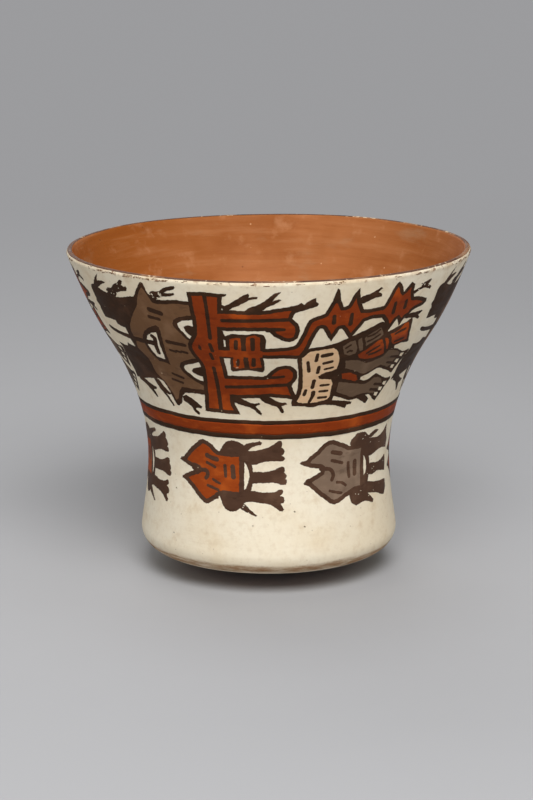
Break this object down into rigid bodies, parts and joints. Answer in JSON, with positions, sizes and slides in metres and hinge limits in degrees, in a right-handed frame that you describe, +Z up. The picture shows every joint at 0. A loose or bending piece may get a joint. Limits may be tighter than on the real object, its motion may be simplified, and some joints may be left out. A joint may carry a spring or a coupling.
{
  "type": "open-neck ceramic cup",
  "caption": "Waisted earthenware cup with a wide flared mouth and a rounded bottom, cream slip outside, orange slip inside and a painted band; holds drink or small goods.",
  "frame": {"origin": "middle of the flat spot under the bottom that the cup stands on", "axes": "+Z up along the cup's axis to the mouth; -Y towards the viewer of the picture"},
  "size_m": [0.1784, 0.1784, 0.1455],
  "materials": {
    "clay": "bare fired clay, matte",
    "cream_slip": "burnished cream slip, satin",
    "orange_slip": "burnished orange slip, satin",
    "red_paint": "burnished red slip paint, satin",
    "dark_paint": "dark brown slip paint, satin"
  },
  "bodies": {
    "root": {"base_pad": "clay", "heel_coil": "clay", "wall_coil_1": "clay", "wall_coil_2": "clay", "wall_coil_3": "clay", "wall_coil_4": "clay", "wall_coil_5": "clay", "wall_coil_6": "clay", "rim_coil": "clay", "outer_slip_coat": "cream_slip", "inner_slip_coat": "orange_slip", "lip_paint": "dark_paint", "band_lower_line": "dark_paint", "band_red": "red_paint", "band_upper_line": "dark_paint"}
  },
  "joints": []
}
